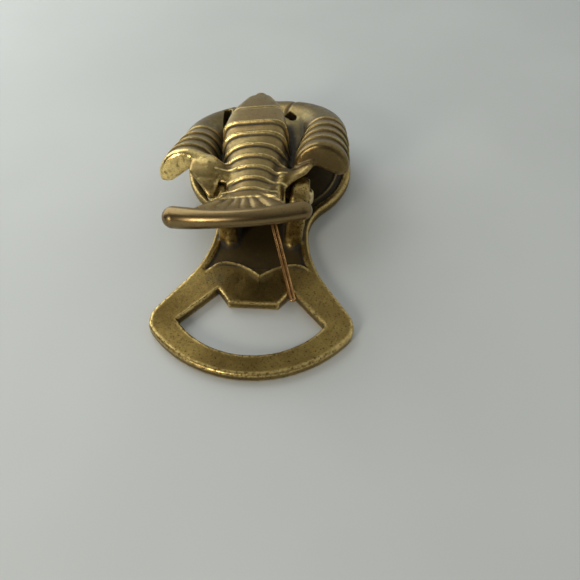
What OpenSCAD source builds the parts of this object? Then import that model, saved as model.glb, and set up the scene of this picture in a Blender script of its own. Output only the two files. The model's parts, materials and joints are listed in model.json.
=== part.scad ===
// Spring letter clip cast in brass: a long back plate with a window loop at one end and a round
// jaw plate at the other, a crayfish-shaped lever pinned above it, and a double torsion spring.
// +Y runs from the loop to the jaws, +Z is up, and the origin is under the middle of the part.

/* [Back plate] */
// Overall length, loop edge to jaw edge
overall_l = 104; // [100:1:108]
// Thickness of the casting
plate_t = 3; // [2.5:0.1:3.5]
// Radius of the round jaw plate
jaw_r = 26; // [25:0.1:27]
// Width at the narrowest part of the neck
neck_w = 27; // [26:0.2:28]
// Radius of the outer edge of the loop
loop_r = 31.8; // [31:0.1:32.5]
// Width of the loop's band
loop_band = 5.9; // [5:0.1:6.5]
// Height of the raised rim above the sunken floor
rim_h = 0.6; // [0.3:0.1:0.9]

/* [Hinge] */
// Height of the hinge axis above the table
hinge_z = 15.8; // [15.5:0.1:16.5]
// Diameter of the hinge pin
pin_d = 3.2; // [3:0.1:3.4]
// Thickness of each ear on the plate
ear_t = 5.2; // [4.8:0.1:5.4]
// Radial clearance of the lever on the pin
pin_play = 0.05; // [0.03:0.01:0.08]

/* [Lever] */
// Slope of the closed lever, down towards the jaws, in degrees
lever_tilt = 15; // [14.5:0.1:15.5]
// Lean of the cast figure to its left on the hinge, in degrees
figure_lean = 5.5; // [4:0.1:6]
// Sideways offset of the cast figure on the hinge
figure_shift = -1.5; // [-1.8:0.1:-1]
// Skew of the cast figure's jaw end to its left, in degrees
figure_skew = 0.4; // [0:0.1:1]
// Radius of each claw at its open end
claw_r = 8.1; // [8:0.1:8.4]
// Width of the tail fan
tail_w = 31; // [29:0.5:32]
// Diameter of the rolled edge of the tail fan
tail_roll_d = 4.3; // [4:0.1:4.6]

/* [Spring] */
// Diameter of the spring wire
wire_d = 0.8; // [0.7:0.05:0.85]
// Turns in each of the two coils
coil_turns = 3; // [2:1:3]

/* [Hidden] */
$fn = 48;
gap = 0.15;                                   // air between the closed jaw and the plate

loop_cy = loop_r - overall_l / 2;             // centre of the loop's outer arc
window_r = 23;                                // the window's arc, centred a little nearer the edge
window_cy = window_r + loop_band - overall_l / 2;
jaw_cy = overall_l / 2 - jaw_r;               // centre of the round jaw plate
hinge_y = -3;
neck_y = -4;                                  // where the neck is narrowest
neck_r = 36;                                  // concave side of the neck, loop end
// concave side of the neck at the jaw end, tangent to the round jaw plate
throat_r = (pow(neck_w / 2, 2) + pow(jaw_cy - neck_y, 2) - jaw_r * jaw_r) / (2 * jaw_r - neck_w);
throat_end_y = jaw_cy - (jaw_cy - neck_y) * jaw_r / (jaw_r + throat_r);
flank_deg = 32.4;                             // slope of the loop's straight sides
corner_r = 4;                                 // rounding of the loop's outer corners
flank_x = neck_w / 2 + neck_r * (1 - cos(flank_deg));   // where the straight side ends
flank_y = neck_y - neck_r * sin(flank_deg);
flank_c = flank_x * cos(flank_deg) + flank_y * sin(flank_deg);  // the side as a line's constant

tab_half = 6.6;                               // half width of the tab's edge
tab_y = -30.4;
window_top = [9.8, -26.1];                    // inner corner between tab and side
window_low = [19.3, -37.3];                   // outer corner of the window

ear_in = 6.1;                                 // inner face of an ear at the plate
ear_lean = 2.4 / 22;                          // outward lean of the ears, per mm of height
ear_top_r = 5;
ear_foot = 6;                                 // half length of an ear at the plate

cheek_out = 7.1;                              // outer and inner face of the lever's two cheeks
cheek_in = 5.6;
rim_z = 1.4;                                  // underside of the lever casting, in its own frame
web_t = 3;                                    // thickness of the plate behind the figure
ring_pitch = 4;                               // length of one ring of the abdomen
rings = 7;
spine_y = [-9, 15];                           // last and first ring's rear edge
spine_z = [1.3, 7.0];                         // height of the abdomen's axis at those two
spine_r = [5.0, 7.9];                         // radius of the abdomen at those two
spine_deg = atan((spine_z[1] - spine_z[0]) / (spine_y[1] - spine_y[0]));
carapace_len = 8.7;
head_len = 8.8;
waist_y = -11.5;

claw_near = [18.2, 2.5];                      // claw's open end, as x and y in the lever's frame
claw_far = [20, 25];                          // where the straight claw meets the curved arm
claw_z = 5;
arm_r = 6.1;
arm_bend = 17;                                // radius of the arm's curve in plan
tail_len = 14.7;
tail_deg = 8.3;                               // rise of the fan from the waist
tail_x = -1.2;                                // the fan's middle stands a little to the left

// Point of the corner circle that rounds the loop: inside the side line and the outer arc.
corner_s = flank_c - corner_r;
corner_d = loop_r - corner_r;
corner_k = corner_s - loop_cy * sin(flank_deg);
corner_along = sqrt(corner_d * corner_d - corner_k * corner_k);
corner_c = [corner_k * cos(flank_deg) + corner_along * sin(flank_deg),
            loop_cy + corner_k * sin(flank_deg) - corner_along * cos(flank_deg)];

// ---------- back plate ----------

// Neck and round jaw plate, drawn in from their edge by inset.
module neck_outline(inset = 0, from_y = flank_y - 1) {
    translate([0, jaw_cy]) circle(r = jaw_r - inset, $fn = 180);
    difference() {
        translate([-flank_x, from_y]) square([2 * flank_x, throat_end_y - from_y]);
        for (s = [-1, 1]) {
            translate([s * (neck_w / 2 + throat_r), neck_y]) circle(r = throat_r + inset, $fn = 120);
            intersection() {
                translate([s * (neck_w / 2 + neck_r), neck_y]) circle(r = neck_r + inset, $fn = 180);
                translate([-overall_l, neck_y - overall_l]) square([2 * overall_l, overall_l]);
            }
        }
    }
}

// The loop: outer arc, straight sides and rounded corners.
module loop_outline() {
    side = [cos(flank_deg), sin(flank_deg)];
    arc_dir = (corner_c - [0, loop_cy]) / corner_d;
    on_side = corner_c + corner_r * side;
    on_arc = [0, loop_cy] + loop_r * arc_dir;
    polygon([[flank_x, flank_y], on_side, on_arc, [0, loop_cy - loop_r + 2], [-on_arc[0], on_arc[1]],
             [-on_side[0], on_side[1]], [-flank_x, flank_y]]);
    intersection() {
        translate([0, loop_cy]) circle(r = loop_r, $fn = 180);
        translate([-loop_r, on_arc[1] - 2 * loop_r]) square(2 * loop_r);
    }
    for (s = [-1, 1])
        translate([s * corner_c[0], corner_c[1]]) circle(r = corner_r);
}

// The window: a sector with the tab standing into it.
module window_outline() {
    intersection() {
        translate([0, window_cy]) circle(r = window_r, $fn = 180);
        polygon([window_low, window_top, [tab_half, tab_y], [-tab_half, tab_y],
                 [-window_top[0], window_top[1]], [-window_low[0], window_low[1]],
                 [-window_r, window_cy - 2 * window_r], [window_r, window_cy - 2 * window_r]]);
    }
}

module ear_profile() {
    polygon([[hinge_y - ear_foot, plate_t - 1], [hinge_y - ear_top_r, hinge_z],
             [hinge_y + ear_top_r, hinge_z], [hinge_y + ear_foot, plate_t - 1]]);
    translate([hinge_y, hinge_z]) circle(r = ear_top_r);
}

// One ear: a rounded upright that leans outwards, with the pin's hole through it.
module ear(s) {
    top = hinge_z + ear_top_r + 1;
    difference() {
        intersection() {
            translate([s > 0 ? 0 : -30, 0, 0]) rotate([90, 0, 90])
                linear_extrude(height = 30) ear_profile();
            translate([0, 20, 0]) rotate([90, 0, 0]) linear_extrude(height = 40)
                polygon([[s * ear_in, 0], [s * (ear_in + ear_t), 0],
                         [s * (ear_in + ear_t + ear_lean * top), top], [s * (ear_in + ear_lean * top), top]]);
        }
        translate([-30, hinge_y, hinge_z]) rotate([0, 90, 0]) cylinder(d = pin_d, h = 60);
    }
}

module back_plate() color([0.62, 0.52, 0.30]) {
    floor_inset = 2.2;
    difference() {
        linear_extrude(height = plate_t) difference() {
            union() {
                neck_outline();
                loop_outline();
            }
            window_outline();
        }
        // sunken floor inside the raised rim, from the neck to the jaw end
        translate([0, 0, plate_t - rim_h]) linear_extrude(height = rim_h + 1)
            intersection() {
                neck_outline(floor_inset, -19);
                translate([-jaw_r, -18.6]) square([2 * jaw_r, overall_l]);
            }
    }
    // raised bead inside the rim of the jaw plate
    translate([0, jaw_cy, plate_t - rim_h - 0.3]) difference() {
        cylinder(r = jaw_r - 4.2, h = 0.6, $fn = 120);
        translate([0, 0, -1]) cylinder(r = jaw_r - 5.0, h = 3, $fn = 120);
    }
    ear(-1);
    ear(1);
}

// ---------- lever ----------

module in_lever_frame(lean = 0) {
    translate([0, hinge_y, hinge_z]) rotate([-lever_tilt, 0, 0]) rotate([0, -lean, 0]) children();
}

// Abdomen, carapace and head on one axis: each ring's rear edge stands over the ring behind it.
module trunk() {
    step = 0.45;
    last = rings - 1;
    len = (spine_y[1] - spine_y[0]) / cos(spine_deg) / last;
    r = function (k) spine_r[0] + (spine_r[1] - spine_r[0]) * k / last;
    teeth = [for (k = [0:last - 1]) each [[r(k) + step, k * len], [r(k) - 0.1, (k + 1) * len]]];
    neck = last * len + carapace_len;
    translate([0, spine_y[0], spine_z[0]]) rotate([spine_deg - 90, 0, 0])
        rotate_extrude($fn = 60)
            polygon(concat([[0, -2], [spine_r[0] - 0.3, -2], [spine_r[0] - 0.2, 0]], teeth,
                           [[r(last) + step, last * len], [7.2, neck], [6.8, neck], [4.2, neck + head_len],
                            [0, neck + head_len]]));
}

// Boss between the eyes, and the beak that slopes down to the jaw.
module beak() {
    translate([0, 35, 14.6]) sphere(r = 1.7);
    translate([0, 31, 12.6]) rotate([-117, 0, 0]) cylinder(r1 = 3.9, r2 = 1.5, h = 20);
}

// Block under the figure that ties it to the web.
module body_block() {
    translate([0, 0, rim_z]) linear_extrude(height = 3.9)
        polygon([[-5.8, waist_y], [5.8, waist_y], [7.6, -8], [8.4, 6], [-8.4, 6], [-7.6, -8]]);
    translate([0, 0, rim_z]) linear_extrude(height = 6.6)
        polygon([[-7.4, 2], [7.4, 2], [8.4, 8], [8.4, 18], [6.6, 30], [4, 44],
                 [-4, 44], [-6.6, 30], [-8.4, 18], [-8.4, 8]]);
}

// Right-hand claw: a revolved stack of flared bands, then an arm that curves in to the head.
module claw() {
    bands = 4;
    run = claw_far - claw_near;
    len = norm(run);
    lean = atan2(run[0], run[1]);
    pitch = 0.78 * len / bands;
    r = function (b) claw_r - b * (claw_r - arm_r - 0.4) / bands;
    teeth = [for (b = [0:bands - 1]) each [[r(b), b * pitch], [r(b) - 0.8, (b + 1) * pitch]]];
    translate([claw_near[0], claw_near[1], claw_z]) rotate([-90, 0, -lean])
        rotate_extrude($fn = 60)
            polygon(concat([[0, 0]], teeth, [[arm_r, bands * pitch], [arm_r, len], [0, len]]));
    translate([claw_far[0] - arm_bend * cos(lean), claw_far[1] + arm_bend * sin(lean), claw_z])
        rotate([0, 0, -lean - 6]) rotate_extrude(angle = 96, $fn = 96)
            translate([arm_bend, 0]) circle(r = arm_r - 0.2, $fn = 40);
}

// Hollow that runs up inside the claw from its open end.
module claw_hollow() {
    run = claw_far - claw_near;
    translate([claw_near[0] + 1.5, claw_near[1], 1.9]) rotate([-90, 0, -atan2(run[0], run[1])])
        translate([0, 0, -3]) cylinder(r = 3.9, h = norm(run) + 3);
}

// Plan of the thin plate behind the figure, in the lever's frame.
module web_outline() {
    difference() {
        union() {
            translate([0, 30]) circle(r = 25.2, $fn = 180);
            polygon([[-25.2, 30], [-25.2, 8], [-12, 8], [-9, 6], [9, 6], [12, 8], [25.2, 8], [25.2, 30]]);
        }
        for (s = [-1, 1])
            translate([s * 9.6, 33]) circle(r = 2.2);
    }
}

module tail_fan() {
    half = tail_w / 2;
    sag = 2.9;                                // depth of the fan's end arc
    arc_r = (half * half + sag * sag) / (2 * sag);
    span = asin(half / arc_r);
    roll = tail_roll_d / 2;
    translate([tail_x, waist_y, 5]) rotate([-tail_deg, 0, 0]) {
        translate([0, 0, -1.2]) linear_extrude(height = 2.4) intersection() {
            translate([0, -tail_len + arc_r]) circle(r = arc_r, $fn = 180);
            polygon([[-5 - tail_x, 3], [-5.8 - tail_x, 0], [-half, -tail_len + sag], [-half, -tail_len],
                     [half, -tail_len], [half, -tail_len + sag], [5.8 - tail_x, 0], [5 - tail_x, 3]]);
        }
        translate([0, -tail_len + arc_r, 0]) rotate([0, 0, -90 - span])
            rotate_extrude(angle = 2 * span, $fn = 180)
                translate([arc_r, 0]) circle(r = roll, $fn = 32);
        for (s = [-1, 1])
            translate([s * half, -tail_len + sag, 0]) sphere(r = roll + 0.45, $fn = 32);
    }
}

// The cast figure: everything that leans together.
module figure() {
    difference() {
        union() {
            trunk();
            beak();
            body_block();
            translate([0, 0, rim_z]) linear_extrude(height = web_t) web_outline();
            claw();
            mirror([1, 0, 0]) claw();
            tail_fan();
        }
        // underside cut flat, from the waist to the jaw
        translate([-40, waist_y - 2, rim_z - 20]) cube([80, 80, 20]);
        claw_hollow();
        mirror([1, 0, 0]) claw_hollow();
        // hollow under the body
        translate([0, 6, 1.5]) rotate([-90, 0, 0]) cylinder(r = 5, h = 24, $fn = 60);
    }
}

// Lug across the body, bored for the pin; the pocket turns it into two cheeks.
module lug() {
    translate([-cheek_out, 0, 0]) rotate([90, 0, 90]) linear_extrude(height = 2 * cheek_out) {
        circle(r = 4.2);
        polygon([[-4.2, 0], [4.2, 0], [5.5, 5], [-6.5, 5]]);
    }
}

module crayfish_lever() color([0.55, 0.46, 0.27]) difference() {
    union() {
        in_lever_frame(figure_lean) translate([figure_shift, 0, 0])
            rotate([0, 0, figure_skew]) figure();
        in_lever_frame() lug();
    }
    in_lever_frame() {
        // pocket for the coils, open to the rear for the spring's arms
        translate([-cheek_in, 0, 0]) rotate([0, 90, 0]) cylinder(r = 4.4, h = 2 * cheek_in);
        translate([-4.1, -15, -12]) cube([9.65, 14.2, 15.9]);
        // room for the ears
        for (s = [-1, 1])
            translate([s > 0 ? cheek_out + 0.15 : -cheek_out - 8.15, 0, 0]) rotate([0, 90, 0])
                cylinder(r = ear_top_r + 0.7, h = 8);
        translate([-10, 0, 0]) rotate([0, 90, 0]) cylinder(d = pin_d + 2 * pin_play, h = 20);
    }
    // jaw lip ground flat to meet the plate
    translate([-60, -40, plate_t + gap - 30]) cube([120, 120, 30]);
}

// ---------- pin ----------

module hinge_pin() color([0.60, 0.50, 0.30]) translate([0, hinge_y, hinge_z]) {
    reach = ear_in + ear_t + ear_lean * hinge_z;   // outer face of an ear at the axis
    head_r = 2.3;
    rotate([0, 90, 0]) cylinder(d = pin_d, h = 2 * reach, center = true);
    for (s = [-1, 1])
        rotate([0, s * 90, 0]) translate([0, 0, reach - 0.1]) {
            cylinder(r = head_r, h = 0.9);
            translate([0, 0, 0.9]) cylinder(r1 = head_r, r2 = head_r - 0.9, h = 0.7);
        }
}

// ---------- spring ----------

coil_r = 2.4;                                 // mean radius of the coils
coil_x = 1.75;                                // the spring has slid a little along the pin
coil_pitch = wire_d + 0.03;
coil_steps = 18;                              // rings of the mesh per turn
leg_half = 0.5;                               // half the distance between the leg's two strands
bend_half = 0.43;                             // the same at the leg's closed end
leg_from = -69.3;                             // where the strands leave the coil, seen along +X
leg_tip = [10.2, -28.3, 2.62];                // hooked over the corner of the window
arm_from = 70;                                // where the two end arms leave the coil
arm_len = 13.5;

function unit(v) = v / norm(v);
function flat(u, t) = unit(u - (u * t) * t);
function reversed(p) = [for (i = [len(p) - 1:-1:0]) p[i]];
function on_coil(x, a) = [x, hinge_y + coil_r * cos(a), hinge_z + coil_r * sin(a)];
function tangent(p, i) = unit(p[min(i + 1, len(p) - 1)] - p[max(i - 1, 0)]);

leg_dir = unit(leg_tip - on_coil(coil_x, leg_from));
leg_side = unit(cross([0, 0, 1], leg_dir));

// One half of the wire: an arm under the tail, a coil wound inwards, and a strand of the leg.
function half_wire(s) =
    let (sweep = 360 * coil_turns + arm_from - leg_from,
         n = round(sweep / 360 * coil_steps),
         width = coil_pitch * sweep / 360,
         start = on_coil(coil_x + s * (leg_half + width), arm_from),
         away = [0, -sin(arm_from), cos(arm_from)])
    concat([start + arm_len * away, start + arm_len / 2 * away],
           [for (k = [0:n]) on_coil(coil_x + s * (leg_half + width * (1 - k / n)),
                                    arm_from - sweep * k / n)],
           [leg_tip + s * bend_half * leg_side]);

left_wire = half_wire(-1);
bend = [for (a = [-60:30:60]) leg_tip + bend_half * (sin(a) * leg_side + cos(a) * leg_dir)];
wire = concat(left_wire, bend, reversed(half_wire(1)));

module torsion_spring() color([0.72, 0.50, 0.26]) {
    sides = 8;
    n = len(wire);
    across = [for (i = 0, u = flat([1, 0, 0], tangent(wire, 0)); i < n;
                   i = i + 1, u = i < n ? flat(u, tangent(wire, i)) : u) u];
    rims = [for (i = [0:n - 1]) let (v = cross(tangent(wire, i), across[i]))
        for (k = [0:sides - 1])
            wire[i] + wire_d / 2 * (cos(360 * k / sides) * across[i] + sin(360 * k / sides) * v)];
    walls = [for (i = [0:n - 2]) for (k = [0:sides - 1]) let (m = (k + 1) % sides)
        [i * sides + k, (i + 1) * sides + k, (i + 1) * sides + m, i * sides + m]];
    caps = [[for (k = [0:sides - 1]) k], [for (k = [sides - 1:-1:0]) (n - 1) * sides + k]];
    polyhedron(rims, concat(walls, caps), convexity = 10);
}

back_plate();
crayfish_lever();
hinge_pin();
torsion_spring();
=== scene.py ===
"""Spring letter clip in aged cast brass: window loop, neck and round jaw plate, a crayfish lever
pinned above it, and a double torsion spring whose long leg hooks over a corner of the window.

The castings are modelled as solid fields (negative inside) in millimetres and then meshed. Marks worked
out per point say where the brass is worn, gilded, green, dirty, shaded or polished.
"""
import json
import math

import bpy
import numpy as np
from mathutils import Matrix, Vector


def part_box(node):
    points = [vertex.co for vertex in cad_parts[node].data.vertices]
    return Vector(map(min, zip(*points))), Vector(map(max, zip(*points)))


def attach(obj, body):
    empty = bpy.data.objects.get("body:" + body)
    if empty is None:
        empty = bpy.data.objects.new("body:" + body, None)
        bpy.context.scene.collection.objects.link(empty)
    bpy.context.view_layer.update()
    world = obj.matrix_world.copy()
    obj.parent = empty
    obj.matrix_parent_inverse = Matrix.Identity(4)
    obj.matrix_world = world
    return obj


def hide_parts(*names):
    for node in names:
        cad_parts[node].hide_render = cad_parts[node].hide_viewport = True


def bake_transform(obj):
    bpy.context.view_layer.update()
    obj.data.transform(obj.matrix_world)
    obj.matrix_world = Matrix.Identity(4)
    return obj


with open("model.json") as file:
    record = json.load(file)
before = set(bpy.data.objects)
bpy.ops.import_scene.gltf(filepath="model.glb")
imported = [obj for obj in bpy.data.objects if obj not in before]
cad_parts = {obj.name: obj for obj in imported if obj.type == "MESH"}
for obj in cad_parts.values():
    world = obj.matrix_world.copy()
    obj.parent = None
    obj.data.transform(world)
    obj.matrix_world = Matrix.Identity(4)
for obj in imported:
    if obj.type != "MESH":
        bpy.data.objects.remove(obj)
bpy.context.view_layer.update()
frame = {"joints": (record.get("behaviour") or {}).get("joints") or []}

MM = 0.001
RNG = np.random.default_rng(11)

# ---------- measures, in millimetres; overall sizes and the hinge come from the frame ----------

plate_lo, plate_hi = (np.array(c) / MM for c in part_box("back_plate"))
pin_hi = np.array(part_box("hinge_pin")[1]) / MM
hinge = np.array(frame["joints"][0]["pos_m"]) / MM

overall_l = plate_hi[1] - plate_lo[1]
plate_t = 3.0
pin_r = 1.55
mesh_step = 0.3

# round jaw plate, and the throat and neck that lead from it to the loop
jaw_r = 26.0
jaw_cy = overall_l / 2 - jaw_r
neck_half = 13.5
neck_y = -4.0
neck_r = 36.0
throat_r = (neck_half ** 2 + (jaw_cy - neck_y) ** 2 - jaw_r ** 2) / (2 * (jaw_r - neck_half))
throat_end_y = jaw_cy - (jaw_cy - neck_y) * jaw_r / (jaw_r + throat_r)

# window loop: outer arc and straight flanks, then the window with its tab
loop_r = 31.8
loop_cy = loop_r - overall_l / 2
loop_band = 5.9
window_r = 23.0
window_cy = window_r + loop_band - overall_l / 2
flank = math.radians(32.4)
flank_x = neck_half + neck_r * (1 - math.cos(flank))
flank_y = neck_y - neck_r * math.sin(flank)
tab_half = 6.6
tab_y = -30.4
window_top = (9.8, -26.1)
window_low = (19.3, -37.3)

# relief on top of the plate
floor_depth = 0.75
ridge_height = 0.40
dish_depth = 0.35
bead_height = 0.45
bead_inset = 4.6
edge_round = 0.9

# the two uprights that carry the pin
ear_in = 6.1
ear_t = 5.2
ear_lean = 2.4 / 22
ear_top_r = 5.0
ear_foot = 6.0

# how the lever sits on the hinge, and how its cast figure sits on the lever
lever_tilt = math.radians(15)
figure_lean = math.radians(5.5)
figure_skew = math.radians(0.4)
figure_shift = -1.5
# in the figure's frame: its flat underside, and the waist where the tail fan starts
rim_z = 1.4
waist_y = -11.5

# ---------- camera, lights and floor ----------

camera_data = bpy.data.cameras.new("camera")
camera_data.sensor_width = 36
camera_data.lens = 34.6
camera = bpy.data.objects.new("camera", camera_data)
camera.location = (0.01449, -0.1181, 0.11763)
camera.rotation_euler = (math.radians(38.955), 0, math.radians(3.189))
bpy.context.scene.collection.objects.link(camera)
bpy.context.scene.camera = camera
bpy.context.scene.view_settings.view_transform = "Standard"


def softbox(name, place, aim, size, power, colour):
    """A rectangular area light that faces a point."""
    data = bpy.data.lights.new(name, "AREA")
    data.shape = "RECTANGLE"
    data.size, data.size_y = size
    data.energy = power
    data.color = colour
    lamp = bpy.data.objects.new(name, data)
    lamp.location = place
    lamp.rotation_euler = (Vector(aim) - Vector(place)).to_track_quat("-Z", "Y").to_euler()
    bpy.context.scene.collection.objects.link(lamp)


softbox("window_light", place=(-0.37, 0.26, 0.28), aim=(0, 0.01, 0), size=(0.60, 0.60),
        power=2.1, colour=(0.97, 1.0, 0.98))
softbox("near_light", place=(-0.28, -0.455, 0.26), aim=(-0.01, -0.02, 0.03), size=(0.10, 0.18),
        power=1.15, colour=(1.0, 0.93, 0.80))


def room(bright_side, dark, bright, strength):
    """A room that is brighter on one side than on the other."""
    world = bpy.data.worlds.new("room")
    bpy.context.scene.world = world
    world.use_nodes = True
    tree = world.node_tree
    way = tree.nodes.new("ShaderNodeTexCoord")
    facing = tree.nodes.new("ShaderNodeVectorMath")
    facing.operation = "DOT_PRODUCT"
    facing.inputs[1].default_value = Vector(bright_side).normalized()
    share = tree.nodes.new("ShaderNodeMapRange")
    share.interpolation_type = "SMOOTHSTEP"
    share.inputs["From Min"].default_value = -0.4
    share.inputs["From Max"].default_value = 0.95
    colour = tree.nodes.new("ShaderNodeMix")
    colour.data_type = "RGBA"
    colour.inputs["A"].default_value = (*dark, 1)
    colour.inputs["B"].default_value = (*bright, 1)
    tree.links.new(way.outputs["Generated"], facing.inputs[0])
    tree.links.new(facing.outputs["Value"], share.inputs["Value"])
    tree.links.new(share.outputs["Result"], colour.inputs["Factor"])
    tree.links.new(colour.outputs["Result"], tree.nodes["Background"].inputs["Color"])
    tree.nodes["Background"].inputs["Strength"].default_value = strength


room(bright_side=(0.50, 0.68, 0.56), dark=(0.10, 0.095, 0.09), bright=(0.92, 0.95, 0.92), strength=0.56)


# ---------- fields ----------

class Space:
    """A box of sample points, in mm, on which fields are worked out."""

    def __init__(self, lo, hi, step):
        self.lo = np.array(lo, np.float32)
        self.step = step
        axes = [np.arange(a, b + step, step, dtype=np.float32) for a, b in zip(lo, hi)]
        self.shape = tuple(len(a) for a in axes)
        self.x, self.y, self.z = np.meshgrid(*axes, indexing="ij", sparse=True)

    def sample(self, field, points):
        """The field at any points, by linear interpolation."""
        top = np.array(self.shape) - 1.001
        g = np.clip((points - self.lo) / self.step, 0, top)
        i = g.astype(int)
        t = g - i
        value = np.zeros(len(points))
        for corner in range(8):
            bit = np.array([corner >> a & 1 for a in range(3)])
            weight = np.prod(np.where(bit, t, 1 - t), axis=1)
            c = i + bit
            value += weight * field[c[:, 0], c[:, 1], c[:, 2]]
        return value


def join(a, b, k):
    """Union with a fillet of about k."""
    h = np.clip(0.5 + 0.5 * (b - a) / k, 0, 1)
    return b + (a - b) * h - k * h * (1 - h)


def both(a, b, k):
    """Intersection with its edge rounded by about k."""
    return -join(-a, -b, k)


def cut(a, b, k):
    """a with b taken away."""
    return -join(-a, b, k)


def step_up(value, start, end):
    """0 before start, 1 after end, smooth between."""
    t = np.clip((value - start) / (end - start), 0, 1)
    return t * t * (3 - 2 * t)


def bump(value, width):
    """1 at zero, falling away smoothly over the width."""
    return np.exp(-(value / width) ** 2)


def rod(x, y, z, a, b, ra, rb):
    """A rod with round ends from a to b, tapering from ra to rb."""
    d = [q - p for p, q in zip(a, b)]
    length2 = sum(v * v for v in d)
    along = ((x - a[0]) * d[0] + (y - a[1]) * d[1] + (z - a[2]) * d[2]) / length2
    t = np.clip(along, 0, 1)
    off = (x - a[0] - t * d[0]) ** 2 + (y - a[1] - t * d[1]) ** 2 + (z - a[2] - t * d[2]) ** 2
    return np.sqrt(off) - (ra + (rb - ra) * t)


def blurred(field, cells):
    """Box blur over an odd number of cells along each axis."""
    half = cells // 2
    for axis in range(3):
        pad = [(half + 1, half) if a == axis else (0, 0) for a in range(3)]
        total = np.cumsum(np.pad(field, pad, mode="edge"), axis=axis, dtype=np.float64)
        n = field.shape[axis]
        after = np.take(total, np.arange(cells, n + cells), axis=axis)
        before = np.take(total, np.arange(0, n), axis=axis)
        field = ((after - before) / cells).astype(np.float32)
    return field


def grain(space, size):
    """Smooth random lumps about size mm across, between roughly -1 and 1."""
    k = max(1, round(size / space.step))
    lattice = RNG.uniform(-1, 1, [n // k + 2 for n in space.shape]).astype(np.float32)
    for axis in range(3):
        lattice = np.repeat(lattice, k, axis=axis)
    lattice = lattice[:space.shape[0], :space.shape[1], :space.shape[2]]
    regain = 1.6  # blurring flattens the lumps
    return blurred(lattice, k + 1 - k % 2) * regain


def surface(space, field):
    """Surface net of the field's zero level: points in mm and four-sided faces."""
    inside = field < 0
    n = np.array(space.shape) - 1
    corners = [tuple(slice(c >> a & 1, (c >> a & 1) + n[a]) for a in range(3)) for c in range(8)]
    count = sum(inside[c].astype(np.int8) for c in corners)
    cell = np.argwhere((count > 0) & (count < 8))
    index = np.full(n, -1, np.int32)
    index[tuple(cell.T)] = np.arange(len(cell))
    offsets = np.array([[c >> a & 1 for a in range(3)] for c in range(8)])
    at = [field[tuple((cell + o).T)] for o in offsets]
    total = np.zeros((len(cell), 3))
    hits = np.zeros(len(cell))
    for p in range(8):
        for axis in range(3):
            q = p | 1 << axis
            if q == p:
                continue
            crosses = (at[p] < 0) != (at[q] < 0)
            gap = np.where(crosses, at[p] - at[q], 1)
            t = np.where(crosses, at[p] / gap, 0)
            total += crosses[:, None] * (offsets[p] + t[:, None] * (offsets[q] - offsets[p]))
            hits += crosses
    points = space.lo + space.step * (cell + total / hits[:, None])
    quads = []
    for axis in range(3):
        u = (axis + 1) % 3
        v = (axis + 2) % 3
        low = [slice(None)] * 3
        high = [slice(None)] * 3
        low[axis], high[axis] = slice(0, -1), slice(1, None)
        change = inside[tuple(low)] != inside[tuple(high)]
        edge = np.argwhere(change)
        off_border = (edge[:, u] > 0) & (edge[:, v] > 0) & (edge[:, u] < n[u]) & (edge[:, v] < n[v])
        edge = edge[off_border]
        step_u = np.eye(3, dtype=int)[u]
        step_v = np.eye(3, dtype=int)[v]
        ring = [edge - step_u - step_v, edge - step_v, edge, edge - step_u]
        quad = np.stack([index[tuple(r.T)] for r in ring], axis=1)
        starts_inside = inside[tuple(edge.T)]
        quad[~starts_inside] = quad[~starts_inside][:, ::-1]
        quads.append(quad)
    return points, np.concatenate(quads)


# ---------- pieces ----------

def piece(name, points, faces, material, body, node, marks=None):
    """A mesh from points in mm, with named values per point, that stands for a CAD node."""
    mesh = bpy.data.meshes.new(name)
    mesh.from_pydata((np.asarray(points) * MM).tolist(), [], [list(map(int, face)) for face in faces])
    mesh.polygons.foreach_set("use_smooth", [True] * len(mesh.polygons))
    for mark, values in (marks or {}).items():
        layer = mesh.attributes.new(mark, "FLOAT", "POINT")
        layer.data.foreach_set("value", np.asarray(values, np.float32))
    mesh.materials.append(material)
    thing = bpy.data.objects.new(name, mesh)
    bpy.context.scene.collection.objects.link(thing)
    if body:
        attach(thing, body)
    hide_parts(node)
    return thing


def edge_marks(space, field, points):
    """How worn (proud edges) and how darkened (hollows, by dirt and by painted shade) each point is, from 0
    to 1.
    """
    reach = 2.5
    near = np.clip(field, -reach, reach)
    fine = space.sample(blurred(near, 5) - near, points)
    wide = space.sample(blurred(near, 13) - near, points)
    return {
        "wear": np.clip(fine / 0.10 - 0.15, 0, 1),
        # hollows are darkened: dirt that gathers there, and painted shade
        "dirt_and_shade": np.clip(-fine / 0.09 - wide / 0.55, 0, 1),
    }


# ---------- materials ----------

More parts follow.
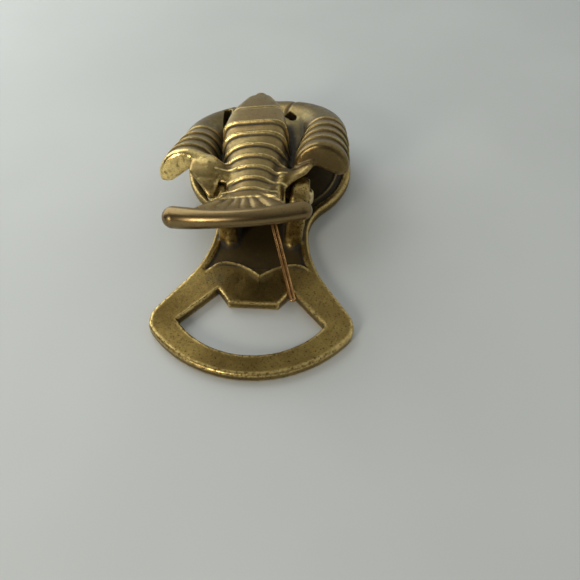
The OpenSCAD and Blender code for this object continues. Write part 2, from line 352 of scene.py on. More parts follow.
class Nodes:
    """Short ways to add and link shader nodes."""

    def __init__(self, name):
        self.material = bpy.data.materials.new(name)
        self.material.use_nodes = True
        self.tree = self.material.node_tree
        self.shader = self.tree.nodes["Principled BSDF"]
        self.place = self.tree.nodes.new("ShaderNodeTexCoord").outputs["Object"]

    def link(self, source, target):
        """Link an output to a socket, or set the socket to a number or a colour."""
        if isinstance(source, (int, float)):
            target.default_value = source
        elif isinstance(source, tuple):
            target.default_value = (*source, 1)
        else:
            self.tree.links.new(source, target)

    def mark(self, name):
        """A named value per point of the mesh, 0 where the mesh has none."""
        node = self.tree.nodes.new("ShaderNodeAttribute")
        node.attribute_name = name
        return node.outputs["Fac"]

    def noise(self, size_mm, detail=3):
        """Noise with features of about this size."""
        scale = self.tree.nodes.new("ShaderNodeMapping")
        scale.inputs["Scale"].default_value = [1 / (size_mm * MM)] * 3
        self.link(self.place, scale.inputs["Vector"])
        node = self.tree.nodes.new("ShaderNodeTexNoise")
        node.inputs["Scale"].default_value = 1
        node.inputs["Detail"].default_value = detail
        self.link(scale.outputs["Vector"], node.inputs["Vector"])
        return node.outputs["Fac"]

    def ramp(self, value, start, end, low=0.0, high=1.0):
        """A smooth change from low to high as the value goes from start to end."""
        node = self.tree.nodes.new("ShaderNodeMapRange")
        node.interpolation_type = "SMOOTHSTEP"
        self.link(value, node.inputs["Value"])
        node.inputs["From Min"].default_value = start
        node.inputs["From Max"].default_value = end
        node.inputs["To Min"].default_value = low
        node.inputs["To Max"].default_value = high
        return node.outputs["Result"]

    def math(self, kind, a, b):
        """Arithmetic on two values, kept between 0 and 1."""
        node = self.tree.nodes.new("ShaderNodeMath")
        node.operation = kind
        node.use_clamp = True
        self.link(a, node.inputs[0])
        self.link(b, node.inputs[1])
        return node.outputs[0]

    def blend(self, share, first, second):
        """A colour between two others."""
        node = self.tree.nodes.new("ShaderNodeMix")
        node.data_type = "RGBA"
        self.link(share, node.inputs["Factor"])
        self.link(first, node.inputs["A"])
        self.link(second, node.inputs["B"])
        return node.outputs["Result"]

    def blend_value(self, share, first, second):
        """A number between two others."""
        node = self.tree.nodes.new("ShaderNodeMix")
        self.link(share, node.inputs["Factor"])
        self.link(first, node.inputs["A"])
        self.link(second, node.inputs["B"])
        return node.outputs["Result"]

    def relief(self, height, depth_mm, after=None):
        """Fine surface relief, added to an earlier relief if there is one."""
        node = self.tree.nodes.new("ShaderNodeBump")
        node.inputs["Distance"].default_value = depth_mm * MM
        self.link(height, node.inputs["Height"])
        if after is not None:
            self.link(after, node.inputs["Normal"])
        return node.outputs["Normal"]


green_grey = (0.115, 0.098, 0.050)
deep_shade = (0.105, 0.068, 0.018)
# dark brown for dirt, also used as painted shade in hollows and under ring edges
dirt_and_shade_brown = (0.035, 0.026, 0.014)
rubbed_bronze = (0.23, 0.160, 0.075)
pit_brown = (0.075, 0.045, 0.018)


def aged_brass(name, olive, brown, gold, roughness, pits):
    """Cast brass: olive and brown patina, gold where it is worn, green where marked, and dark brown where
    dirt and painted shade are marked.
    """
    n = Nodes(name)
    blotch = n.ramp(n.noise(7, 4), 0.38, 0.66)
    mottle = n.ramp(n.noise(0.8, 5), 0.35, 0.70)
    speck = n.ramp(n.noise(0.45, 2), 0.58, 0.68)
    polish = n.mark("polish")
    colour = n.blend(blotch, brown, olive)
    colour = n.blend(n.math("MULTIPLY", mottle, 0.35), colour, tuple(0.62 * c for c in olive))
    green = n.math("MULTIPLY", n.mark("green"), n.ramp(n.noise(2.2, 4), 0.15, 0.85, 0.2, 1.0))
    colour = n.blend(green, colour, green_grey)
    shaded = n.math("MULTIPLY", n.mark("shade"), n.ramp(n.noise(3.0, 4), 0.15, 0.55, 0.6, 1.0))
    colour = n.blend(shaded, colour, deep_shade)
    worn = n.math("MULTIPLY", n.mark("wear"), n.ramp(n.noise(0.8, 3), 0.25, 0.60))
    gilded = n.math("MULTIPLY", n.mark("gilt"), n.ramp(n.noise(1.0, 3), 0.20, 0.55))
    worn = n.math("MAXIMUM", worn, gilded)
    colour = n.blend(worn, colour, gold)
    # dirt and painted shade: darker, rougher and less metallic where marked
    dirt_and_shade_share = n.math("MULTIPLY", n.mark("dirt_and_shade"), n.ramp(n.noise(1.2, 3), 0.10, 0.50, 0.55, 1.0))
    colour = n.blend(dirt_and_shade_share, colour, dirt_and_shade_brown)
    colour = n.blend(n.math("MULTIPLY", polish, 0.8), colour, rubbed_bronze)
    colour = n.blend(n.math("MULTIPLY", speck, pits), colour, pit_brown)
    n.link(colour, n.shader.inputs["Base Color"])
    rough = n.blend_value(mottle, roughness - 0.05, roughness + 0.08)
    for share, own_roughness in ((worn, 0.27), (dirt_and_shade_share, 0.70), (polish, 0.30)):
        rough = n.blend_value(share, rough, own_roughness)
    n.link(rough, n.shader.inputs["Roughness"])
    n.link(n.math("SUBTRACT", 1.0, n.math("MULTIPLY", dirt_and_shade_share, 0.75)), n.shader.inputs["Metallic"])
    lumps = n.blend_value(polish, n.noise(1.1, 3), 0.5)
    specks = n.blend_value(polish, n.noise(0.30, 3), 0.5)
    cast = n.relief(lumps, 0.05)
    fine = n.relief(specks, 0.030, cast)
    n.link(fine, n.shader.inputs["Normal"])
    return n.material


plate_brass = aged_brass("plate_brass", olive=(0.35, 0.245, 0.072), brown=(0.26, 0.17, 0.05),
                         gold=(0.84, 0.62, 0.24), roughness=0.42, pits=0.90)
lever_brass = aged_brass("lever_brass", olive=(0.30, 0.225, 0.088), brown=(0.27, 0.18, 0.072),
                         gold=(0.90, 0.68, 0.27), roughness=0.37, pits=0.35)
pin_brass = aged_brass("pin_brass", olive=(0.55, 0.44, 0.22), brown=(0.42, 0.31, 0.15),
                       gold=(0.90, 0.74, 0.38), roughness=0.33, pits=0.10)


def spring_wire():
    """Bronze-coloured wire, tarnished in patches."""
    n = Nodes("spring_bronze")
    clean = (0.60, 0.34, 0.13)
    tarnished = (0.34, 0.18, 0.07)
    tarnish = n.ramp(n.noise(4.0, 2), 0.38, 0.66)
    n.link(n.blend(tarnish, clean, tarnished), n.shader.inputs["Base Color"])
    n.shader.inputs["Metallic"].default_value = 1
    n.link(n.blend_value(tarnish, 0.24, 0.42), n.shader.inputs["Roughness"])
    return n.material


spring_bronze = spring_wire()

# ---------- back plate ----------

def plate_outline(x, y):
    """Distance outside the plate's outline in plan."""
    across = np.abs(x)
    disc = np.hypot(x, y - jaw_cy) - jaw_r
    throat = throat_r - np.hypot(across - neck_half - throat_r, y - neck_y)
    neck = neck_r - np.hypot(across - neck_half - neck_r, y - neck_y)
    side = (across - flank_x) * math.cos(flank) + (y - flank_y) * math.sin(flank)
    arc = np.hypot(x, y - loop_cy) - loop_r
    corner = 4.0
    inner = np.minimum(-corner, np.maximum(side, arc))
    loop = inner + np.hypot(np.maximum(side + corner, 0), np.maximum(arc + corner, 0))
    lower = np.where(y > flank_y, neck, loop)
    return np.where(y > throat_end_y, disc, np.where(y > neck_y, throat, np.maximum(lower, arc)))


def window_outline(x, y):
    """Distance outside the window: a sector with the tab standing into it."""
    across = np.abs(x)
    arc = np.hypot(x, y - window_cy) - window_r
    dx = window_low[0] - window_top[0]
    dy = window_top[1] - window_low[1]
    side = ((across - window_top[0]) * dy + (y - window_top[1]) * dx) / math.hypot(dx, dy)
    ux = window_top[0] - tab_half
    uy = window_top[1] - tab_y
    notch = ((y - tab_y) * ux - (across - tab_half) * uy) / math.hypot(ux, uy)
    return np.maximum(np.maximum(arc, side), np.minimum(y - tab_y, notch))


def scallop_y(x):
    """The scalloped ridge across the neck: two arches that meet in a cusp towards the tab."""
    off = np.abs(x - 0.9) - 9.6
    return np.maximum(-16.8 - np.where(off < 0, 0.048, 0.13) * off ** 2, -21.5)


def ear(x, y, z, side):
    """One upright with a round top, leaning outwards."""
    lean = side * x - ear_lean * z
    cheeks = np.maximum(ear_in - lean, lean - ear_in - ear_t)
    up = np.clip((z - plate_t + 1) / (hinge[2] - plate_t + 1), 0, 1)
    half = ear_foot + (ear_top_r - ear_foot) * up
    post = np.maximum(np.abs(y - hinge[1]) - half, z - hinge[2])
    head = np.hypot(y - hinge[1], z - hinge[2]) - ear_top_r
    above_floor = np.maximum(np.minimum(post, head), plate_t - 1 - z)
    return both(above_floor, cheeks, 1.4)


def plate_field(s):
    """The whole back plate: relief on top, rounded rim, window, ears with the pin's bore, cast texture."""
    x, y, z = s.x, s.y, s.z
    rim = plate_outline(x, y)
    in_window = window_outline(x, y)
    scallop = y - scallop_y(x)
    sunk = step_up(-rim - 2.0, 0, 0.7) * step_up(scallop, 0.1, 0.9) * step_up(y, -20.5, -17.5)
    top = plate_t - floor_depth * sunk
    top = top + ridge_height * bump(scallop, 0.45) * step_up(-np.abs(x - 0.9), -14.4, -11.5)
    dish = step_up(-scallop, 0.2, 2.5) * step_up(7.5 - np.hypot(x / 1.25, y + 25), 0, 4)
    top = top - dish_depth * dish
    bead = np.hypot(x, y - jaw_cy) - (jaw_r - bead_inset)
    top = top + bead_height * bump(bead, 0.45) * step_up(y, throat_end_y, throat_end_y + 3)
    rounded = np.hypot(np.maximum(rim + edge_round, 0), np.maximum(z - top + edge_round, 0)) - edge_round
    flat = np.maximum(np.maximum(rim, -in_window), z - top)
    f = np.where((rim > -edge_round) & (z > top - edge_round), rounded, flat)
    f = both(f, -z, 0.7)
    f = cut(f, in_window + 0 * z, 0.5)
    # a narrow chamfer round the window's upper edge
    chamfer = (z - top - in_window) * 0.7 + 0.18
    f = np.maximum(f, np.where(in_window > -1, chamfer, -1))
    for side in (-1, 1):
        f = join(f, ear(x, y, z, side), 1.1)
        foot = rod(x, y, z, (side * 8.7, -8.9, 2.2), (side * 8.9, -7.2, 5.0), 1.2, 1.0)
        f = join(f, foot, 1.6)
    bore = np.hypot(y - hinge[1], z - hinge[2]) - pin_r
    f = np.maximum(f, -bore)
    rough_ears = 0.012 + 0.05 * step_up(z, plate_t + 0.8, plate_t + 3)
    return f + 0.03 * grain(s, 3.0) + rough_ears * grain(s, 0.9)


def plate_marks(space, field, points):
    """Where the plate is worn, gilded or green, and where dirt and painted shade darken it."""
    marks = edge_marks(space, field, points)
    x, y, z = points.T
    inside_rim = step_up(-plate_outline(x, y), 2.2, 3.2)
    on_ridge = bump(y - scallop_y(x), 0.5) * (np.abs(x) < 14)
    on_ears = step_up(z, 3.6, 6)
    left_of_tab = bump(np.hypot(x + 10.5, (y + 22.5) * 1.4), 3.5)
    sunk_floor = inside_rim * (z < 3.2) * (z > 1) * step_up(y, -20, -17)
    on_floor = inside_rim * (z < 3) * (z > 1.5) * (y > -18)
    on_tab = bump(np.hypot(x / 1.3, y + 25.5), 6.0) * (y > -31)
    loop_end = bump(np.hypot(x + 3, (y + 49) * 1.5), 11)
    loop_left = bump(np.hypot(x + 24, y + 34), 11)
    left_ear_top = (x < 0) * step_up(z, 11, 13)
    marks["wear"] *= np.where(y > -21, 0.55, 0.9)
    marks["gilt"] = np.clip(0.35 * on_ears + 0.8 * on_ridge, 0, 1)
    marks["green"] = np.clip(0.25 + 0.9 * left_of_tab, 0, 1)
    # the sunk neck floor under the lever is made darker too
    marks["dirt_and_shade"] = np.clip(marks["dirt_and_shade"] + 0.45 * sunk_floor, 0, 1)
    shade = 0.9 * on_tab + 0.8 * on_floor + 0.75 * loop_end + 1.0 * loop_left + 0.9 * left_ear_top
    marks["shade"] = np.clip(shade, 0, 1)
    return marks


plate_space = Space((-28, -53.5, -1.2), (28, 53.5, 22.2), mesh_step)
plate_f = plate_field(plate_space)
points, quads = surface(plate_space, plate_f)
marks = plate_marks(plate_space, plate_f, points)
piece("plate_casting", points, quads, plate_brass, "base", "back_plate", marks)


# ---------- crayfish lever, worked out in the cast figure's own frame ----------

# where the abdomen's rings, the carapace and the head end, along the figure
rings_from = -13.0
rings_to = 15.0
ring_pitch = 4.0
carapace_to = 23.9
head_to = 34.6

# slots beside the head, and how far the lever stays off the plate
slot_r = 1.15
jaw_gap = 0.2


def axis_z(y):
    """Height of the trunk's axis, which rises towards the head."""
    return 0.35 + 0.2375 * (y - rings_from)


def ring_step(y):
    """Each ring's rear edge stands over the ring behind it."""
    in_ring = np.clip(y - rings_from, 0, rings_to - rings_from - 0.001) / ring_pitch % 1
    return np.where(y < rings_to, 0.22 - 0.62 * in_ring, 0)


def trunk_half_width(y):
    """Half the trunk's width: growing along the rings, tapering along carapace and head."""
    rings = 4.8 + 4.1 * step_up(y, rings_from, 12)
    carapace = 9.1 - 1.1 * np.clip((y - rings_to) / (carapace_to - rings_to), 0, 1) ** 1.4
    head = 7.7 - 3.7 * np.clip((y - carapace_to) / (head_to - carapace_to), 0, 1) ** 1.5
    return np.where(y < rings_to, rings, np.where(y < carapace_to, carapace, head)) + ring_step(y)


def trunk_height(y):
    """The trunk's height above its axis."""
    along = np.clip((y - rings_from) / (rings_to - rings_from), 0, 1)
    rings = 4.9 + 3.0 * along ** 1.8
    carapace = 8.25 - 0.95 * np.clip((y - rings_to) / (carapace_to - rings_to), 0, 1)
    head = 7.15 - 1.9 * np.clip((y - carapace_to) / (head_to - carapace_to), 0, 1)
    return np.where(y < rings_to, rings, np.where(y < carapace_to, carapace, head)) + ring_step(y)


def nearest_ring(y):
    """Where the nearest ring's rear edge lies."""
    return rings_from + ring_pitch * np.round(np.clip((y - rings_from) / ring_pitch, 0, 7))


def trunk(x, y, z):
    """Abdomen, carapace and head on one rising axis, with straight skirts below it."""
    h = z - axis_z(y)
    up = np.maximum(h, 0)
    wide = trunk_half_width(y)
    high = trunk_height(y)
    # power of the section's curve: near 2 is round, higher is squarer
    square = 2.3 + 3.0 * step_up(y, 7, 17) - 1.5 * step_up(y, 26, 33)
    scaled = ((np.abs(x) / wide) ** square + (up / high) ** square) ** (1 / square)
    shell = (scaled - 1) * np.minimum(wide, high) - 0.12 * np.clip(-h, 0, 6)
    front = y - head_to + 0.03 * x ** 2
    ends = np.maximum(rings_from + 0.3 - y, front)
    f = both(shell, np.maximum(ends, rim_z - z), 1.0)
    rope = np.hypot(y - nearest_ring(y) - 0.2, shell + 0.12) - 0.36
    f = join(f, np.maximum(rope, -h), 0.25)
    groove = np.hypot(y - carapace_to, shell) - 0.42
    return cut(f, groove, 0.15)


def claw_profile(y, near_y, mouth_r, arm_r):
    """Radius of a claw: four bands, each overlapping the next towards the arm."""
    bands = 4
    pitch = 5.6
    t = (y - near_y) / pitch
    in_band = np.clip(t, 0, bands - 0.001) % 1
    base = mouth_r + (arm_r + 0.3 - mouth_r) * np.clip(t / bands, 0, 1)
    stepped = base + 0.15 - 0.75 * in_band ** 1.2
    return np.where(t < bands, stepped, arm_r)


def claw(x, y, z, side, near_x, far_x, mouth_r, arm_r):
    """A flared, banded claw, then an arm that curves in to the head."""
    near_y = 2.2
    far_y = 25.0
    bend = 17.0
    across = side * x
    mid = near_x + (far_x - near_x) * np.clip((y - near_y) / (far_y - near_y), 0, 1)
    straight = np.hypot(across - mid, z - 5) - claw_profile(y, near_y, mouth_r, arm_r)
    turn = np.hypot(across - far_x + bend, y - far_y) - bend
    joint = np.arctan2(y - far_y, across - far_x + bend) - math.radians(66)
    curved = np.hypot(turn, z - 5.3) - arm_r + 0.40 * bump(joint, 0.035)
    f = np.where(y < far_y, straight, np.where(across > far_x - bend - 2, curved, 9))
    mouth = (near_y - y - 0.10 * (z - 9)) * 0.98
    return both(f, mouth, 2.4)


def claw_hollow(x, y, z, side, apex, outer_slope, inner_slope, lobe_z):
    """Space under a claw, like a low roof: highest at the apex, and open to the outer side."""
    across = side * x
    lobe = lobe_z - (lobe_z - rim_z + 0.3) * step_up(y, 4, 13)
    outer = np.maximum(apex[1] - outer_slope * (across - apex[0]), lobe)
    inner = apex[1] - inner_slope * (apex[0] - across)
    roof = np.where(across > apex[0], outer, inner)
    ends = np.maximum(np.abs(y - 7) - 15, 0.3 * (y - 8) + z - roof)
    return np.maximum((z - roof) * 0.75, np.maximum(ends, 9.0 - across))


def fender(hx, hy, hz, side, across_stops, end_degrees):
    """Curved apron from claw and body back over the ear; where it ends round the hinge varies across."""
    across = side * hx
    round_by = np.degrees(np.arctan2(hz, hy))
    lifted = np.interp(round_by, (55, 75, 95, 120), (3.7, 2.5, 1.2, 0)) * step_up(across, 8, 14)
    sheet = np.abs(np.hypot(hy, hz) - 6.4 - lifted) - 0.7
    past_end = np.radians(round_by - np.interp(across, across_stops, end_degrees)) * 4.5
    edges = np.maximum(past_end, np.radians(60 - round_by) * 7)
    sides = np.maximum(across_stops[0] - across, across - across_stops[-1])
    return both(sheet, np.maximum(edges, sides), 0.8)


def web(x, y, z):
    """The thin plate behind the figure, rising towards the head between body and arms."""
    round_end = np.hypot(x, y - 30) - 25.2
    plan = np.where(y > 30, round_end, np.maximum(np.abs(x) - 25.2, 7 - y))
    rise = 5.0 * step_up(y, 19, 35) * step_up(-np.abs(x + 1), -18, -14) * step_up(-y, -50, -44)
    top = 4.4 + rise
    return both(plan + 0 * z, z - top, 0.8)


fan_rise = math.radians(8.3)
fan_length = 14.7
fan_half = 15.5
fan_sag = 2.9
fan_arc_r = (fan_half ** 2 + fan_sag ** 2) / (2 * fan_sag)
fan_centre_y = fan_arc_r - fan_length


def to_fan_frame(x, y, z):
    """Figure frame to the fan's own, which starts at the waist and rises away from it."""
    fy = (y - waist_y) * math.cos(fan_rise) - (z - 5) * math.sin(fan_rise)
    fz = (y - waist_y) * math.sin(fan_rise) + (z - 5) * math.cos(fan_rise)
    return x + 1.2, fy, fz


def rolled_edge(fx, fy, fz):
    """The thick round bar along the fan's curved end, thickest at its left."""
    in_x = np.clip(fx, -fan_half + 0.4, fan_half)
    end_y = fan_centre_y - np.sqrt(fan_arc_r ** 2 - in_x ** 2)
    size = 2.15 + 0.50 * step_up(-in_x, 2, 15)
    return np.sqrt((fx - in_x) ** 2 + (fy - end_y) ** 2 + fz ** 2) - size


def fan(x, y, z):
    """The tail fan: a fluted, dished leaf with a thick rolled edge."""
    fx, fy, fz = to_fan_frame(x, y, z)
    from_arc = np.hypot(fx, fy - fan_centre_y) - fan_arc_r
    spread = np.abs(fx) - 6.0 - (fan_half - 6.0) * np.clip(-fy / (fan_length - fan_sag), 0, 1) ** 0.65
    reach = np.hypot(fx, 3.0 - fy)
    flutes_per_radian = 9.47
    lobe = np.abs(np.sin(flutes_per_radian * np.arctan2(fx, 3.0 - fy) + 0.35))
    flute = 0.6 * (1 - lobe ** 0.6) * step_up(reach, 3.5, 7)
    dished = 0.45 + 0.9 * step_up(-fy, 0, 6)
    leaf = np.maximum(fz - 1.25 + dished + flute, -1.25 - fz)
    sheet = np.maximum(leaf, np.maximum(spread, np.maximum(from_arc, fy - 4)))
    return join(both(sheet, from_arc, 0.5), rolled_edge(fx, fy, fz), 0.5)


def to_hinge_frame(x, y, z):
    """Figure frame to the hinge's frame, which doesn't lean."""
    sx = x * math.cos(figure_skew) - y * math.sin(figure_skew) + figure_shift
    sy = x * math.sin(figure_skew) + y * math.cos(figure_skew)
    return (sx * math.cos(figure_lean) - z * math.sin(figure_lean), sy,
            sx * math.sin(figure_lean) + z * math.cos(figure_lean))


def to_world(x, y, z):
    """Figure frame to the shared frame."""
    hx, hy, hz = to_hinge_frame(x, y, z)
    return (hinge[0] + hx, hinge[1] + hy * math.cos(lever_tilt) + hz * math.sin(lever_tilt),
            hinge[2] - hy * math.sin(lever_tilt) + hz * math.cos(lever_tilt))


def lever_field(s):
    """The whole lever: figure, claws, web, tail fan, aprons and lug, then hollows, bore and cast texture."""
    x, y, z = s.x, s.y, s.z
    f = join(trunk(x, y, z), web(x, y, z), 1.2)
    left = claw(x, y, z, -1, near_x=18.4, far_x=17.8, mouth_r=8.1, arm_r=6.2)
    right = claw(x, y, z, 1, near_x=18.2, far_x=19.6, mouth_r=7.8, arm_r=6.5)
    f = join(f, left, 0.8)
    f = join(f, right, 0.8)
    beak = rod(x, y, z, (0, 31, 12.6), (0, 48.8, 3.5), 3.9, 1.5)
    f = join(f, beak, 1.0)
    nub = np.sqrt((x - 0.3) ** 2 + ((y - 34.9) * 1.2) ** 2 + ((z - 15.9) * 1.6) ** 2) - 1.9
    f = join(f, nub, 0.25)

    # solid block under the figure, which moves over to cover the spring at the waist
    over_spring = 0.9 * step_up(-y, -6, 4)
    block_half = np.interp(y, [-11.5, -8, 6, 18, 30, 44], [5.6, 7.0, 9.0, 8.6, 6.6, 4])
    block_side = np.abs(x - over_spring) - block_half
    block_top = z - np.interp(y, [-8, 8], [5.1, 6.5])
    block = both(block_side + 0 * z, np.maximum(block_top, np.abs(y - 16) - 28), 1.2)
    f = join(f, np.maximum(block, waist_y - y), 1.4)
    f = join(f, fan(x, y, z), 1.0)

    # underside, the hollows under the body and inside the claws, and the slots beside the head
    behind_waist = y < waist_y - 1.5
    f = both(f, rim_z - z + 0 * x + 0 * y - 20 * behind_waist, 0.6)
    f = cut(f, np.hypot(x, z - 1.5) - 5 + 20 * ((y < 6) | (y > 30)), 0.4)
    left_hollow = claw_hollow(x, y, z, -1, apex=(16.8, 7.8), outer_slope=0.58, inner_slope=2.4, lobe_z=4.2)
    right_hollow = claw_hollow(x, y, z, 1, apex=(16.5, 6.3), outer_slope=0.52, inner_slope=0.75, lobe_z=3.0)
    f = cut(f, left_hollow, 0.8)
    f = cut(f, right_hollow, 0.8)
    for start, end in (((9.7, 33.4), (8.2, 35.4)), ((-10.6, 30.5), (-11.0, 38.0))):
        slot = rod(x, y, 0, (*start, 0), (*end, 0), slot_r, slot_r)
        f = cut(f, slot + 0 * z, 0.2)

    # aprons: places across, and how many degrees round the hinge each place reaches
    hx, hy, hz = to_hinge_frame(x, y, z)
    left_ends = (6, 10.4, 11.6, 12.9, 14.3, 16.6, 18.6), (128, 128, 165, 168, 148, 122, 106)
    right_ends = (5.2, 7.6, 8.5, 10.2, 12.4, 14), (155, 135, 124, 110, 98, 82)
    f = join(f, fender(hx, hy, hz, -1, *left_ends), 1.1)
    f = join(f, fender(hx, hy, hz, 1, *right_ends), 1.1)

    # lug on the pin, and the room for coils, spring arms, ears and pin
    lug = np.maximum(np.hypot(hy, hz) - 4.2, np.abs(hx) - 7.1)
    lug_neck = np.maximum(np.maximum(np.abs(hy + 0.5) - 5.0, np.abs(hz - 2.5) - 2.5), np.abs(hx) - 7.1)
    f = join(f, np.minimum(lug, lug_neck), 0.5)
    coil_pocket = np.maximum(np.hypot(hy, hz) - 4.4, np.abs(hx) - 5.6)
    arm_pocket = np.maximum(np.abs(hx - 0.72) - 4.82, np.abs(hy + 7.9) - 7.1)
    arm_pocket = np.maximum(arm_pocket, np.abs(hz + 4.05) - 7.95)
    ear_room = np.maximum(np.hypot(hy, hz) - 5.7, np.maximum(7.25 - np.abs(hx), np.abs(hx) - 14.4))
    bore = np.hypot(hy, hz) - pin_r - 0.15
    for gone in (coil_pocket, arm_pocket, ear_room, bore):
        f = np.maximum(f, -gone)
    height = to_world(x, y, z)[2]
    f = np.maximum(f, plate_t + jaw_gap - height)

    hammered = 0.35 * bump(np.hypot(x + 17, y - 3), 6)
    smooth_bar = step_up(-y, 17, 20)
    return f + (1 - smooth_bar) * (0.03 * grain(s, 3.0) + (0.015 + 0.05 * hammered) * grain(s, 0.9))


def lever_marks(space, field, points):
    """Where the lever is worn, gilded, green or polished, and where dirt and painted shade darken it."""
    marks = edge_marks(space, field, points)
    x, y, z = points.T
    wide = np.abs(x)
    on_back = (wide < 9.5) * (z - axis_z(y) > 1.5) * (y < rings_to + 1)
    ring_top = on_back * bump(y - nearest_ring(y) - 0.2, 0.28)
    # painted shadow: a dark band just behind each ring's raised edge
    ring_shadow = on_back * bump(y - nearest_ring(y) + 0.55, 0.3)
    left_mouth = bump(y - 2.8, 1.8) * (x < -9.5) * (z > 1)
    left_apron = (x < -9) * (y < 3) * (y > -12) * (z > -3)
    right_mouth = bump(y - 2.8, 2.2) * (x > 9)
    arms = step_up(wide, 8, 10) * step_up(y, 24, 27)
    head = (y > carapace_to) * (wide < 8)
    recess = step_up(np.abs(x + 1), 7, 10) * step_up(-z, -11, -6) * (y > 4)
    beside_body = bump(wide - 9.0, 2.2) * step_up(-z, -11, -7) * step_up(y, 2, 6) * step_up(-y, -32, -28)
    gutter = step_up(-y, -3, 0) * step_up(-wide, -15, -7) * step_up(wide, 5.0, 6.0) * (y > -14)
    leaf = step_up(-y, 12, 14) * (z > 2)
    on_bar = step_up(-rolled_edge(*to_fan_frame(x, y, z)), -0.5, -0.1)
    low_front = (y > 29) * (z < 13)
    marks["wear"] *= (1 - 0.7 * leaf) * np.where(wide > 9.5, 0.35, 1) * (1 - 0.8 * low_front)
    marks["gilt"] = np.clip(0.9 * ring_top + 0.95 * left_mouth + 0.12 * left_apron, 0, 1)
    marks["shade"] = np.clip(0.75 * right_mouth + 0.3 * leaf + 1.3 * gutter, 0, 1)
    marks["polish"] = np.clip(on_bar + 0.5 * right_mouth + 0.45 * leaf, 0, 1)
    # dirt in hollows and flutes, darker beside the body, and the painted shadow behind each ring
    dirt_and_shade = (0.6 + 0.7 * leaf) * marks["dirt_and_shade"] + 0.8 * beside_body + 0.5 * ring_shadow
    marks["dirt_and_shade"] = np.clip(dirt_and_shade, 0, 1)
    marks["green"] = np.clip(recess + 0.8 * arms + 0.25 * head, 0, 1)
    return marks


lever_space = Space((-28.5, -29.8, -5.6), (28.5, 57.0, 18.5), mesh_step)
lever_f = lever_field(lever_space)
points, quads = surface(lever_space, lever_f)
marks = lever_marks(lever_space, lever_f, points)
placed = np.stack(to_world(*points.T), axis=1)
piece("lever_casting", placed, quads, lever_brass, "lever", "crayfish_lever", marks)


# ---------- hinge pin ----------

def ring_faces(rings, sides):
    """Four-sided faces between rings of points, each ring with the same number of points."""
    faces = []
    for i in range(rings - 1):
        for k in range(sides):
            a = i * sides + k
            b = i * sides + (k + 1) % sides
            faces.append((a, b, b + sides, a + sides))
    return faces


def pin_mesh():
    """The pin's profile turned about its axis, with peened domes at both ends."""
    reach = pin_hi[0]
    head_r = 2.3
    dome_depth = reach * 0.1 - 0.02
    dome = [(reach * 0.9 + dome_depth * math.sin(a), head_r * math.cos(a) ** 0.6)
            for a in np.radians([0, 20, 40, 55, 68, 78, 86])]
    half = [(reach * 0.88, pin_r), (reach * 0.885, head_r - 0.25)] + dome
    profile = [(-x, r) for x, r in reversed(half)] + half
    sides = 64
    turns = np.linspace(0, 2 * math.pi, sides, endpoint=False)
    hand_peened = 1 + 0.02 * np.sin(3 * turns + 1) + 0.012 * np.sin(7 * turns)
    points = [(hinge[0] + x, hinge[1] + r * w * math.cos(t), hinge[2] + r * w * math.sin(t))
              for x, r in profile for t, w in zip(turns, hand_peened)]
    last = (len(profile) - 1) * sides
    caps = [tuple(range(sides - 1, -1, -1)), tuple(last + k for k in range(sides))]
    return points, ring_faces(len(profile), sides) + caps


points, faces = pin_mesh()
piece("pin_peened", points, faces, pin_brass, "base", "hinge_pin",
      {"gilt": [0.6] * len(points), "wear": [0.3] * len(points)})


# ---------- torsion spring ----------

wire_r = 0.4
coil_r = 2.4
coil_x = 1.75
coil_turns = 3
coil_pitch = 0.83
arm_from = 70.0
arm_len = 13.5
leg_from = -69.3
leg_tip = np.array([10.2, -28.3, 2.62])
# half the gap between the leg's two strands, at the coils and at the closed end
leg_half = 0.5
bend_half = 0.43


def on_coil(x, degrees):
    """A point on the coil, at this angle round the pin."""
    a = math.radians(degrees)
    return np.array([x, hinge[1] + coil_r * math.cos(a), hinge[2] + coil_r * math.sin(a)])


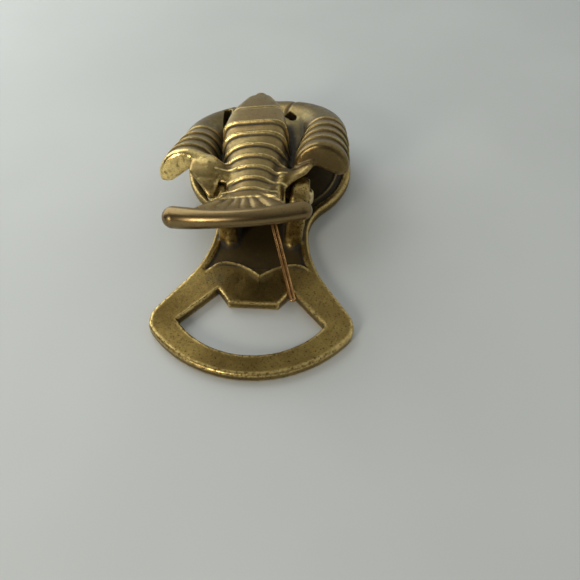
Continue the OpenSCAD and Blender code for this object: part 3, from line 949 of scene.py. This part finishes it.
def half_wire(side, leg_side):
    """An arm under the tail, a coil wound inwards, and one strand of the leg."""
    sweep = 360 * coil_turns + arm_from - leg_from
    width = coil_pitch * sweep / 360
    start = on_coil(coil_x + side * (leg_half + width), arm_from)
    away = np.array([0, -math.sin(math.radians(arm_from)), math.cos(math.radians(arm_from))])
    arm_points = 12
    arm = [start + arm_len * (1 - k / arm_points) * away for k in range(arm_points)]
    degrees_per_point = 9
    steps = round(sweep / degrees_per_point)
    coil = [on_coil(coil_x + side * (leg_half + width * (1 - k / steps)), arm_from - sweep * k / steps)
            for k in range(steps + 1)]
    foot = leg_tip + side * bend_half * leg_side
    strand_points = 40
    strand = [coil[-1] + (foot - coil[-1]) * k / strand_points for k in range(1, strand_points + 1)]
    return arm + coil + strand


def tube(path, radius, sides=16):
    """A round tube along a path, its section carried without twist."""
    path = np.array(path)
    ahead = np.gradient(path, axis=0)
    ahead /= np.linalg.norm(ahead, axis=1)[:, None]
    across = np.cross(ahead[0], (0, 0, 1.0))
    points = []
    for centre, direction in zip(path, ahead):
        across = across - direction * across.dot(direction)
        across /= np.linalg.norm(across)
        up = np.cross(direction, across)
        points += [centre + radius * (across * math.cos(t) + up * math.sin(t))
                   for t in np.linspace(0, 2 * math.pi, sides, endpoint=False)]
    faces = [(a, d, c, b) for a, b, c, d in ring_faces(len(path), sides)]
    return np.array(points), faces


# the leg's closed end: the two strands meet in a half circle round the tip
leg_dir = leg_tip - on_coil(coil_x, leg_from)
leg_dir /= np.linalg.norm(leg_dir)
leg_side = np.cross((0, 0, 1), leg_dir)
leg_side /= np.linalg.norm(leg_side)
closed_end = [leg_tip + bend_half * (math.sin(a) * leg_side + math.cos(a) * leg_dir)
              for a in np.radians(range(-75, 90, 15))]
route = half_wire(-1, leg_side) + closed_end + half_wire(1, leg_side)[::-1]
points, faces = tube(route, wire_r)
spring = piece("spring_wire", points, faces, spring_bronze, None, "torsion_spring")
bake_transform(spring)

# ---------- floor ----------

floor_mesh = bpy.data.meshes.new("floor")
floor_mesh.from_pydata([(-2, -1.2, 0), (2, -1.2, 0), (2, 3, 0), (-2, 3, 0)], [], [(0, 1, 2, 3)])
floor = bpy.data.objects.new("floor", floor_mesh)
bpy.context.scene.collection.objects.link(floor)
pale = Nodes("pale_floor")
cloudy = pale.ramp(pale.noise(60, 2), 0.3, 0.7)
pale.link(pale.blend(cloudy, (0.60, 0.62, 0.61), (0.63, 0.65, 0.64)), pale.shader.inputs["Base Color"])
pale.shader.inputs["Roughness"].default_value = 0.55
floor_mesh.materials.append(pale.material)
